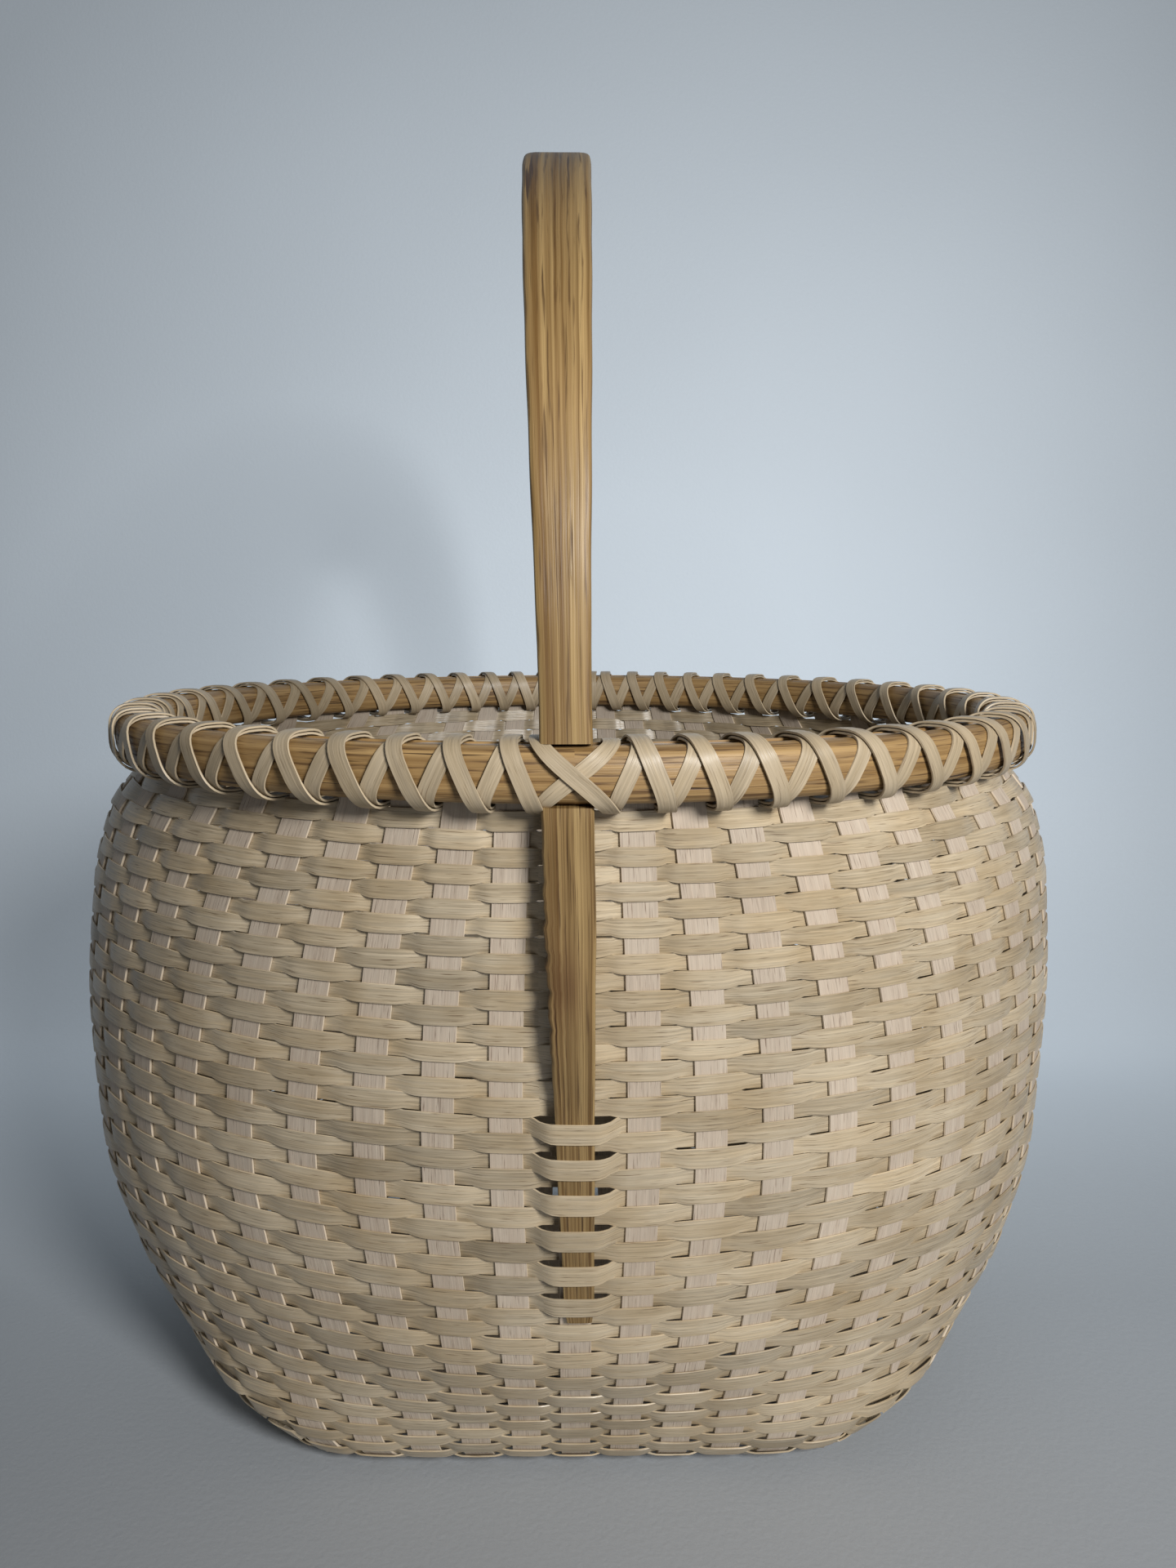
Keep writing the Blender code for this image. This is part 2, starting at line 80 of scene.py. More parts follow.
# Columns: swings are degrees away from even steps, and the spread at the handle is degrees too
SIDE_SPLINTS = 11
QUARTER = SIDE_SPLINTS + 2
COLUMNS = 4 * QUARTER
HALF_SIDE = QUARTER / 2
LAST_SIDE_GAP = SIDE_SPLINTS / 2
BASE_PITCH = 0.0163
BELLY_SWING = 9.5
BELLY_SKEW = -2.2
RIM_SWING = -7.0
HANDLE_SPREAD = 0.80
HANDLE_SPREAD_COLUMNS = 2.2

# The outline below the collar, as in the CAD part
OUTLINE_HEIGHT_SHARES = (0.0, 0.03, 0.10, 0.22, 0.38, 0.56, 0.76, 0.87)
SIDE_REACH_SHARES = (0.0, 0.15, 0.54, 0.88, 0.99, 1.0, 0.95, 0.86)
FRONT_REACH_SHARES = (0.0, 0.15, 0.29, 0.54, 0.69, 0.83, 0.95, 1.0)
SQUARE_TOP_SHARE = 0.35
SQUARE_POWER = 7.4
SQUARE_FADE = 5
FOOT_TOP_SHARE = 0.22
NECK_SHARE = 0.42
NECK_TURN = 1.5
# The belly stands this far to the left at its middle height, and less above and below
LEFT_SHIFT = 0.0022
LEFT_SHIFT_POWER = 1.5

# Splints
UPRIGHT_WIDTH = 0.0103
UPRIGHT_THICKNESS = 0.0009
WEAVER_THICKNESS = 0.0006
WEAVE_SLACK = 0.00004
WEAVER_CREST = 0.10
WEAVER_STEPS = 12
LEG_STEPS = 90
MOST_HALF_COLUMNS = 0.41
TAIL_FLAT_COLUMNS = 0.30
TAIL_REACH_COLUMNS = 0.78

# Weaver rows: heights at a few rows, and the smooth curve through them gives the rest
ROW_MARKS = (1, 8, 16, 20, 28, 34, 38, 42, 44)
ROW_HEIGHTS = (0.2496, 0.2122, 0.1660, 0.1412, 0.0880, 0.0528, 0.0312, 0.0132, 0.0052)
HIDDEN_ROW_HEIGHTS = (0.2645, 0.2588)
LAST_ROW = 44
ROW_FILL_SHARE = 1.12
ROW_CROSSING_SHARE = 0.94
LEAST_STEEPNESS = 0.55
FIRST_TUCKED_ROW = 18
# How far a row strays from its height: in these waves round the body, and in one wave to two uprights
ROW_WANDERS = ((0.00022, 3), (0.00014, 7))
UPRIGHT_WANDER = 0.00012

# Base: where the through-splints cross, and how they turn up into the wall
FOOT_SHARE = 0.024
BASE_CLEARANCE = 0.0001
BASE_WAVE = 0.00055
CREASE_SHARE = 0.85
CREASE_STEPS = 5

# Corner uprights: a pointed foot that widens upwards
CORNER_FOOT = 0.034
CORNER_TIP_SHARE = 0.30
CORNER_TAPER = 0.030

# Tones: how much lighter or darker than its material a splint is, and where its grain starts
# Painted shade: the inner faces of weavers and uprights are darker, as the inside of the basket lies in shade
INNER_FACE_PAINTED_SHADE = -0.26
ROW_TONE_SPREAD = 0.045
BRICK_TONE_SPREAD = 0.07
DARK_BRICK_TONE = 0.18
DARK_BRICK_SHARE = 0.06
UPRIGHT_TONE_SPREAD = 0.03
LASH_TONE_SPREAD = 0.05
ROW_GRAIN_STEP = 0.37
OUTER_HOOP_GRAIN = 0.1
INNER_HOOP_GRAIN = 0.6
FILLER_GRAIN = 0.4
LASH_GRAIN = 0.21
HANDLE_GRAIN = 0.3

# Rim
HOOP_POWER = 2.9
HOOP_ARC_POINTS = 13
RIM_STEPS = 360
INNER_HOOP_GAP = 0.0008
# A hoop's thickness: share, waves round the rim, start
HOOP_SWELLS = ((0.05, 2, 0.6), (0.03, 5, 0.0))
FILLER_START = 0.62
FILLER_STEPS = 170
FILLER_DEPTH = 0.0012
FILLER_THICKNESS = 0.0012
# A filler's small rises and falls: height, and radians along it
FILLER_WAVES = ((0.00025, 41), (0.0002, 97))

# Lashing
STRIP_WIDTH = 0.0050
STRIP_WIDTH_SPREAD = 0.05
STRIP_THICKNESS = 0.0007
STRIP_STEP = 0.0010
STRIP_GAP = 0.0002
LASH_STEPS = 36
LASH_POWER = 3.0
GAP_ANGLE = math.radians(-78)
SLACK_BELOW = 0.0012
SLACK_ABOVE = 0.0004
SLACK_POWER = 3

# Handle
LEG_WIDTH = 0.0145
GRIP_WIDTH = 0.0235
LEG_THICKNESS = 0.0088
GRIP_THICKNESS = 0.0105
TAIL_TIP = 0.081
TAIL_TIP_THICKNESS = 0.0018
TAIL_SWELL = 0.0024
TAIL_STEPS = 90
TUCK_TOP = 0.160
TUCK_EASE = 0.012
LEG_EASE = 0.035
TUCK_GAP = 0.0002
WEAVER_GAP = 0.0003
TONGUE_GAP = 0.0002
NOTCH_BOTTOM_GAP = 0.0002
NOTCH_TOP_GAP = 0.0004
NOTCH_STEP = 0.0004
NOTCH_NECK = 0.012
ARC_FOOT = RIM_HEIGHT + 0.027
ARC_STEPS = 110
ARC_SWELL_POWER = 1.1
HANDLE_SECTION_STEPS = 28
HANDLE_POWER = 7.0
HANDLE_LEAN = -0.0183
LEAN_HEIGHT = 0.150
LEG_HEIGHTS = (0.081, 0.086, 0.110, 0.150, 0.190, 0.215, 0.255)
LEG_WIDTHS = (0.0080, 0.0095, 0.0105, 0.0118, 0.0132, 0.0145, 0.0147)
# Painted shade towards the grip's top, which faces up and away from the key light; the handle is also darker
# below the rim
HANDLE_DARKENING_HEIGHTS = (0.08, 0.25, 0.30, 0.36, 0.42, 0.465)
HANDLE_DARKENING_TONES = (-0.28, -0.22, -0.10, 0.0, -0.26, -0.60)

# The knife's facets on the handle, with their radians to a metre each way
SIDE_FACET = 0.00007
SIDE_FACET_Z = 160
SIDE_FACET_Y = 90
FACE_FACET = 0.00012
FACE_FACET_Z = 210
FACE_FACET_X = 400

# The bark edge and the knot low on the handle's front leg
BARK_HEIGHT = 0.205
BARK_REACH = 0.030
BARK_DEPTH = 0.0008
BARK_EDGE_POWER = 3
BARK_KNOT_SHARE = 0.8
# The bark edge's waves: share, radians to a metre, start
BARK_WAVES = ((0.5, 540, 0.0), (0.3, 1130, 1.0), (0.2, 2100, 0.0))
KNOT_HEIGHT = 0.203
KNOT_HALF_HEIGHT = 0.012
KNOT_LEFT = 0.002
KNOT_HALF_WIDTH = 0.0038

# Studio
BACKDROP_Y = 0.44
BACKDROP_HEIGHT = 2.2
SWEEP_RADIUS = 0.20
SWEEP_STEPS = 16
FLOOR_FRONT = -2.0
FLOOR_MIDDLE = -0.6
FLOOR_HALF_WIDTH = 3.2
FLOOR_SINK = 0.0002
BACKDROP_GLOW = 0.28
# The middle of a painted pool of light on the backdrop, across and up
PAINTED_LIGHT_POOL = (0.04, 0.24)
AIR_STRENGTH = 0.12
LIGHT_TARGET = (0.0, 0.0, 0.20)

# Camera, from the photograph: the frame is 1440 x 1920 pixels
PHOTO_HEIGHT = 1920
FOCAL_PIXELS = 1442
SENSOR = 36.0
CAMERA_PLACE = (0.0, -0.490, 0.308)
CAMERA_PITCH = math.radians(8.44)
CAMERA_YAW = math.radians(0.66)


# Curves and the wall's surface

def smooth_curve(places, values):
    """The smooth curve through the points that never swings past them, as a function."""
    places, values = np.array(places, float), np.array(values, float)
    widths = np.diff(places)
    steps = np.diff(values) / widths
    before, after = steps[:-1], steps[1:]
    same_way = before * after > 0
    total = np.where(same_way, before + after, 1.0)
    slopes = np.concatenate([steps[:1], np.where(same_way, 2 * before * after / total, 0.0), steps[-1:]])

    def curve(place):
        place = np.clip(place, places[0], places[-1])
        span = np.clip(np.searchsorted(places, place, side="right") - 1, 0, len(steps) - 1)
        part = (place - places[span]) / widths[span]
        start = values[span] * (1 + 2 * part) * (1 - part) ** 2
        start = start + slopes[span] * widths[span] * part * (1 - part) ** 2
        end = values[span + 1] * part * part * (3 - 2 * part)
        end = end + slopes[span + 1] * widths[span] * part * part * (part - 1)
        return start + end

    return curve


def outline(reaches, base, most, rim):
    """A half size of the body as a function of the share: from the base to its most, then to the rim."""
    places = OUTLINE_HEIGHT_SHARES + (COLLAR_SHARE, 1.0)
    return smooth_curve(places, [base + reach * (most - base) for reach in reaches] + [rim, rim])


half_width_at = outline(SIDE_REACH_SHARES, BASE_HALF_WIDTH, WIDEST_HALF_WIDTH, RIM_HALF_WIDTH)
half_depth_at = outline(FRONT_REACH_SHARES, BASE_HALF_DEPTH, NECK_HALF_DEPTH, RIM_HALF_DEPTH)
row_height = smooth_curve(ROW_MARKS, ROW_HEIGHTS)


def unit(vectors):
    return vectors / np.maximum(np.linalg.norm(vectors, axis=-1, keepdims=True), TINY)


def smooth_step(share):
    share = np.clip(share, 0, 1)
    return share * share * (3 - 2 * share)


def swung_direction(column, swing, skew, spread):
    """Where columns stand round the body, swung from even steps away from the handle: unit (x, y)."""
    column = np.mod(column, COLUMNS)
    quarter, place = np.divmod(column, QUARTER)
    first_half = quarter % 2 == 0
    near = np.where(first_half, place, QUARTER - place)
    turn = math.pi * near / QUARTER
    away = swing * np.sin(turn) + skew * np.sin(2 * turn)
    away = away + spread * np.exp((0.5 - near) / HANDLE_SPREAD_COLUMNS) * np.minimum(2 * near, 1)
    angle = np.radians(90 * column / QUARTER + np.where(first_half, away, -away))
    return np.stack([np.sin(angle), -np.cos(angle)], -1)


def rim_direction(column):
    return swung_direction(column, RIM_SWING, 0, HANDLE_SPREAD)


def base_direction(column):
    """Where columns stand on the square base: unit (x, y)."""
    side, place = np.divmod(np.mod(column, COLUMNS) + HALF_SIDE, QUARTER)
    place = place - HALF_SIDE
    side = side.astype(int) % 4
    half_size = np.where(side % 2 == 0, BASE_HALF_WIDTH, BASE_HALF_DEPTH)
    edge = LAST_SIDE_GAP * BASE_PITCH / half_size
    past = (np.abs(place) - LAST_SIDE_GAP) / (HALF_SIDE - LAST_SIDE_GAP)
    reach = np.where(past <= 0, np.abs(place) * BASE_PITCH / half_size, edge + (1 - edge) * past)
    reach = np.copysign(reach, place)
    ones = np.ones_like(reach)
    x = np.choose(side, [reach, ones, -reach, -ones])
    y = np.choose(side, [-ones, reach, ones, -reach])
    return unit(np.stack([x * BASE_HALF_WIDTH, y * BASE_HALF_DEPTH], -1))


def surface(column, share):
    """Places on the middle of the wall."""
    column, share = np.broadcast_arrays(np.asarray(column, float), np.asarray(share, float))
    foot = (1 - (1 - np.minimum(share / FOOT_TOP_SHARE, 1)) ** 2)[..., None]
    neck = (np.clip((share - NECK_SHARE) / (COLLAR_SHARE - NECK_SHARE), 0, 1) ** NECK_TURN)[..., None]
    low = base_direction(column) * (1 - foot) + swung_direction(column, BELLY_SWING, BELLY_SKEW, 0) * foot
    way = unit(low * (1 - neck) + rim_direction(column) * neck)
    power = 2 + SQUARE_POWER * np.maximum(0, 1 - share / SQUARE_TOP_SHARE) ** SQUARE_FADE
    reach = np.abs(way[..., 0] / half_width_at(share)) ** power
    reach = reach + np.abs(way[..., 1] / half_depth_at(share)) ** power
    radius = reach ** (-1 / power)
    shift = LEFT_SHIFT * np.sin(math.pi * np.clip(share / COLLAR_SHARE, 0, 1)) ** LEFT_SHIFT_POWER
    shift = shift * way[..., 0] ** 2
    return np.stack([radius * way[..., 0] - shift, radius * way[..., 1], share * RIM_HEIGHT], -1)


WallPlace = namedtuple("WallPlace", "place along up out")
SMALL_COLUMN = 0.1
SMALL_SHARE = 0.003


def wall(column, share):
    """Places on the wall with their directions along the row, up the wall and outward."""
    high = np.minimum(share + SMALL_SHARE, 1.0)
    low = np.maximum(share - SMALL_SHARE, 0.0)
    up = unit(surface(column, high) - surface(column, low))
    along = unit(surface(column + SMALL_COLUMN, share) - surface(column - SMALL_COLUMN, share))
    return WallPlace(surface(column, share), along, up, unit(np.cross(along, up)))


# Meshes

# A splint's section, in half widths and thicknesses: nearly flat faces and thin cut edges
SPLINT_SECTION = ((-1, 0), (-0.97, -0.5), (0, -0.5), (0.97, -0.5),
                  (1, 0), (0.97, 0.46), (0, 0.54), (-0.97, 0.46))
CUT_EDGE_SHARE = 0.99
SHARP_ANGLE = math.radians(32)


def sweep(name, centres, sides, faces, widths, thicknesses, closed=False, section=SPLINT_SECTION, tones=0.0,
          start_v=0.0, cut_edges=1.0, back_painted_shade=0.0):
    """A strip along the centres. sides and faces are unit directions across it and out of its face.

    Its UV map holds metres along and across the strip. Its attributes say how light it is (tone), and where
    its cut edges are (edge). On the strip's back the tone takes an added painted shade.
    """
    centres, sides, faces = (np.asarray(part, float) for part in (centres, sides, faces))
    count, corners = len(centres), len(section)
    widths = np.broadcast_to(widths, count)
    thicknesses = np.broadcast_to(thicknesses, count)
    across, out = np.array(section, float).T
    points = (centres[:, None] + sides[:, None] * (across[None, :, None] * widths[:, None, None] / 2)
              + faces[:, None] * (out[None, :, None] * thicknesses[:, None, None]))
    spans = count if closed else count - 1
    here = np.arange(spans)[:, None] * corners
    there = (np.arange(spans)[:, None] + 1) % count * corners
    corner = np.arange(corners)[None]
    after = (corner + 1) % corners
    quads = np.stack([here + corner, here + after, there + after, there + corner], -1).reshape(-1, 4)
    steps = np.linalg.norm(np.diff(centres, axis=0, append=centres[:1]), axis=1)
    along = np.concatenate([[0], np.cumsum(steps)])
    edges = np.hypot(np.diff(across, append=across[0]) * widths.mean() / 2,
                     np.diff(out, append=out[0]) * thicknesses.mean())
    girth = np.concatenate([[0], np.cumsum(edges)])
    u = np.stack([along[:spans], along[:spans], along[1:spans + 1], along[1:spans + 1]], -1)[:, None]
    v = np.stack([girth[:-1], girth[1:], girth[1:], girth[:-1]], -1)[None]
    uv = np.stack(np.broadcast_arrays(u, v + start_v), -1).reshape(-1, 2)
    polygons = quads.tolist()
    if not closed:
        last = (count - 1) * corners
        polygons += [list(range(corners))[::-1], [last + number for number in range(corners)]]
        uv = np.concatenate([uv, np.zeros((2 * corners, 2))])
    mesh = bpy.data.meshes.new(name)
    mesh.from_pydata(points.reshape(-1, 3).tolist(), [], polygons)
    layer = mesh.uv_layers.new(name="UVMap")
    layer.data.foreach_set("uv", uv.astype(np.float32).ravel())
    tone = np.broadcast_to(tones, count)
    # The strip's back gets painted shade added to its tone
    add_attribute(mesh, "tone", (tone[:, None] + back_painted_shade * (out < 0)[None]).ravel())
    add_attribute(mesh, "edge", np.tile(cut_edges * (np.abs(across) > CUT_EDGE_SHARE), count))
    mesh.shade_smooth()
    mesh.set_sharp_from_angle(angle=SHARP_ANGLE)
    item = bpy.data.objects.new(name, mesh)
    bpy.context.scene.collection.objects.link(item)
    return item


def add_attribute(mesh, name, values):
    layer = mesh.attributes.new(name, "FLOAT", "POINT")
    layer.data.foreach_set("value", np.asarray(values, np.float32))


def flip_if_inside_out(item):
    mesh = item.data
    volume = 0.0
    points = [vertex.co for vertex in mesh.vertices]
    for face in mesh.polygons:
        first = points[face.vertices[0]]
        for corner in range(1, len(face.vertices) - 1):
            second, third = points[face.vertices[corner]], points[face.vertices[corner + 1]]
            volume += first.dot(second.cross(third))
    if volume < 0:
        mesh.flip_normals()


def dress(item, material, slot, *nodes):
    """Gives a piece its material and its body, and hides the CAD nodes that it stands for. slot is not used.
    """
    item.data.materials.append(material)
    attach(item, "root")
    if nodes:
        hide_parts(*nodes)
    return item


# Materials

# The Mix node's sockets for colours
MIX_SHARE = 0
MIX_FIRST = 6
MIX_SECOND = 7
MIX_RESULT = 2


def srgb(red, green, blue):
    """A colour measured on the screen (0 to 255), as the linear values that a shader takes."""
    shares = [value / 255 for value in (red, green, blue)]
    linear = [share / 12.92 if share <= 0.04045 else ((share + 0.055) / 1.055) ** 2.4 for share in shares]
    return (*linear, 1.0)


class Nodes:
    """Short calls for building one material's nodes."""

    def __init__(self, name, **sockets):
        self.material = bpy.data.materials.new(name)
        self.material.use_nodes = True
        self.tree = self.material.node_tree
        self.shader = self.tree.nodes["Principled BSDF"]
        for socket, value in sockets.items():
            self.shader.inputs[socket.replace("_", " ")].default_value = value

    def add(self, kind, inputs=(), **settings):
        node = self.tree.nodes.new(kind)
        for key, value in settings.items():
            setattr(node, key, value)
        for socket, value in dict(inputs).items():
            self.feed(node.inputs[socket], value)
        return node

    def feed(self, socket, value):
        if isinstance(value, bpy.types.NodeSocket):
            self.tree.links.new(value, socket)
        else:
            socket.default_value = value

    def math(self, operation, first, second=0.0):
        return self.add("ShaderNodeMath", {0: first, 1: second}, operation=operation).outputs[0]

    def attribute(self, name):
        return self.add("ShaderNodeAttribute", attribute_name=name).outputs["Fac"]

    def grain(self, along, across, detail, roughness=0.55, distortion=0.0):
        """Noise on the strip's own metres, scaled each way: long along the strip and fine across it."""
        uv = self.add("ShaderNodeUVMap", uv_map="UVMap").outputs["UV"]
        scaled = self.add("ShaderNodeMapping", {"Vector": uv, "Scale": (along, across, 1.0)})
        return self.noise(scaled.outputs["Vector"], detail, roughness=roughness, distortion=distortion)

    def noise(self, vector, detail, roughness=0.55, scale=1.0, distortion=0.0):
        inputs = {"Vector": vector, "Scale": scale, "Detail": detail, "Roughness": roughness,
                  "Distortion": distortion}
        return self.add("ShaderNodeTexNoise", inputs).outputs["Fac"]

    def object_place(self):
        return self.add("ShaderNodeTexCoord").outputs["Object"]

    def span(self, value, low, high, to_low=0.0, to_high=1.0):
        """The value, with low to high spread over to_low to to_high and held at both ends."""
        inputs = {"Value": value, "From Min": low, "From Max": high, "To Min": to_low, "To Max": to_high}
        return self.add("ShaderNodeMapRange", inputs, clamp=True).outputs["Result"]

    def mix(self, share, first, second, blend="MIX"):
        node = self.add("ShaderNodeMix", data_type="RGBA", blend_type=blend, clamp_factor=True)
        self.feed(node.inputs[MIX_SHARE], share)
        self.feed(node.inputs[MIX_FIRST], first)
        self.feed(node.inputs[MIX_SECOND], second)
        return node.outputs[MIX_RESULT]

    def shade(self, color, factor):
        """The colour times a grey factor."""
        grey = self.add("ShaderNodeCombineColor", {"Red": factor, "Green": factor, "Blue": factor})
        return self.mix(1.0, color, grey.outputs["Color"], "MULTIPLY")

    def bump(self, height, strength, distance):
        inputs = {"Height": height, "Strength": strength, "Distance": distance}
        return self.add("ShaderNodeBump", inputs).outputs["Normal"]

    def finish(self, color, roughness, normal):
        self.feed(self.shader.inputs["Base Color"], color)
        self.feed(self.shader.inputs["Roughness"], roughness)
        self.feed(self.shader.inputs["Normal"], normal)
        return self.material


def splint_material(name, body, warm, streak, edge, grain, streaks, mottle, roughness, specular=0.5,
                    cut=0.75):
    """Shaved wood splint: soft long fibres, thin dark pores, warmer patches, a satin face and a painted
    highlight along its edges.
    """
    nodes = Nodes(name, Specular_IOR_Level=specular)
    fibre = nodes.grain(along=38, across=1500, detail=4)
    band = nodes.grain(along=9, across=420, detail=2)
    pores = nodes.grain(along=95, across=2300, detail=2)
    patch = nodes.noise(nodes.object_place(), detail=3, scale=34)
    light = nodes.math("ADD", nodes.span(fibre, 0.25, 0.75, 1 - grain, 1 + grain), nodes.attribute("tone"))
    color = nodes.mix(nodes.span(patch, 0.42, 0.68, to_high=mottle), body, warm)
    color = nodes.mix(nodes.span(band, 0.35, 0.70, to_high=0.5), color, warm)
    color = nodes.mix(nodes.span(pores, 0.60, 0.70, to_high=streaks), color, streak)
    color = nodes.shade(color, light)
    # Painted highlight: the splint's edges are mixed towards the pale edge colour
    color = nodes.mix(nodes.math("MULTIPLY", nodes.attribute("edge"), cut), color, edge)
    height = nodes.math("ADD", nodes.math("MULTIPLY", fibre, 0.7), nodes.math("MULTIPLY", pores, -0.5))
    rough = nodes.span(fibre, 0.2, 0.8, roughness - 0.07, roughness + 0.10)
    return nodes.finish(color, rough, nodes.bump(height, strength=0.35, distance=0.0004))


def hoop_material():
    """Golden-brown riven oak: long dark pores and lighter bands that run round the hoop."""
    dark, light = srgb(126, 96, 56), srgb(176, 144, 96)
    pore, crack = srgb(84, 58, 32), srgb(52, 32, 18)
    nodes = Nodes("rim_oak", Specular_IOR_Level=0.5)
    band = nodes.grain(along=5, across=520, detail=3)
    fibre = nodes.grain(along=24, across=1900, detail=4)
    pores = nodes.grain(along=34, across=900, detail=3, roughness=0.6)
    cracks = nodes.grain(along=13, across=620, detail=2)
    color = nodes.mix(nodes.span(band, 0.32, 0.66), dark, light)
    color = nodes.mix(nodes.span(pores, 0.54, 0.64, to_high=0.8), color, pore)
    color = nodes.mix(nodes.span(cracks, 0.665, 0.70, to_high=0.9), color, crack)
    color = nodes.shade(color, nodes.span(fibre, 0.25, 0.75, 0.86, 1.13))
    height = nodes.math("SUBTRACT", nodes.math("MULTIPLY", fibre, 0.6), nodes.span(cracks, 0.66, 0.70))
    rough = nodes.span(pores, 0.4, 0.7, 0.42, 0.62)
    return nodes.finish(color, rough, nodes.bump(height, strength=0.5, distance=0.0006))


def handle_material():
    """Carved hardwood: dark and light stripes, open pores, a knotty patch and dark edges."""
    dark, light = srgb(116, 85, 42), srgb(184, 154, 103)
    pore, crack = srgb(84, 57, 29), srgb(70, 42, 22)
    knot, dark_edge = srgb(98, 62, 34), srgb(92, 64, 34)
    nodes = Nodes("handle_wood", Specular_IOR_Level=0.5)
    stripe = nodes.grain(along=3.0, across=480, detail=4, distortion=0.2)
    fibre = nodes.grain(along=16, across=1700, detail=4)
    pores = nodes.grain(along=30, across=1050, detail=3)
    cracks = nodes.grain(along=11, across=520, detail=2)
    color = nodes.mix(nodes.span(stripe, 0.38, 0.62), dark, light)
    color = nodes.mix(nodes.span(pores, 0.55, 0.65, to_high=0.7), color, pore)
    color = nodes.mix(nodes.span(cracks, 0.66, 0.70, to_high=0.85), color, crack)
    color = nodes.mix(nodes.span(nodes.attribute("knot"), 0.0, 1.0, to_high=0.8), color, knot)
    color = nodes.mix(nodes.math("MULTIPLY", nodes.attribute("edge"), 0.65), color, dark_edge)
    # The tone brings the painted shade on the grip's top
    tone = nodes.attribute("tone")
    color = nodes.shade(color, nodes.math("ADD", nodes.span(fibre, 0.25, 0.75, 0.84, 1.12), tone))
    height = nodes.math("SUBTRACT", nodes.math("MULTIPLY", fibre, 0.7), nodes.span(cracks, 0.64, 0.70))
    rough = nodes.span(fibre, 0.2, 0.8, 0.36, 0.55)
    return nodes.finish(color, rough, nodes.bump(height, strength=0.45, distance=0.0006))


# edge is the colour of the painted highlight on the splints' edges
WEAVER = splint_material("splint_weaver", body=srgb(196, 181, 155), warm=srgb(170, 149, 115),
                         streak=srgb(112, 89, 62), edge=srgb(224, 208, 184), grain=0.30, streaks=0.80,
                         mottle=0.70, roughness=0.35, specular=0.8)
UPRIGHT = splint_material("splint_upright", body=srgb(202, 188, 170), warm=srgb(182, 164, 145),
                          streak=srgb(120, 98, 83), edge=srgb(232, 216, 190), grain=0.14, streaks=0.75,
                          mottle=0.40, roughness=0.55)
LASHING = splint_material("lashing_splint", body=srgb(184, 168, 142), warm=srgb(162, 144, 114),
                          streak=srgb(116, 94, 68), edge=srgb(220, 204, 176), grain=0.22, streaks=0.60,
                          mottle=0.50, roughness=0.42, cut=0.5)
HOOP_OAK = hoop_material()
HANDLE_WOOD = handle_material()


# Weave

def weaver_rows():
    """(row number, height, pitch) of every weaver, from the hidden ones between the hoops to the base."""
    hidden_pitch = HIDDEN_ROW_HEIGHTS[0] - HIDDEN_ROW_HEIGHTS[1]
    rows = [(index - 1, height, hidden_pitch) for index, height in enumerate(HIDDEN_ROW_HEIGHTS)]
    for row in range(1, LAST_ROW + 1):
        pitch = float(row_height(max(row - 0.5, 1)) - row_height(min(row + 0.5, LAST_ROW)))
        # Half of the first and of the last row's pitch lies past the marks
        pitch *= 1 if 1 < row < LAST_ROW else 2
        rows.append((row, float(row_height(row)), pitch))
    return rows


def upright_half(column, share):
    """Half an upright's width, in columns."""
    pitch = np.linalg.norm(surface(column + 0.5, share) - surface(column - 0.5, share), axis=-1)
    return np.minimum(UPRIGHT_WIDTH / 2 / pitch, MOST_HALF_COLUMNS)


def tail_thickness(height):
    """How thick the handle's tucked tail is at a height."""
    return TAIL_TIP_THICKNESS + TAIL_SWELL * np.clip((height - TAIL_TIP) / (TUCK_TOP - TAIL_TIP), 0, 1)


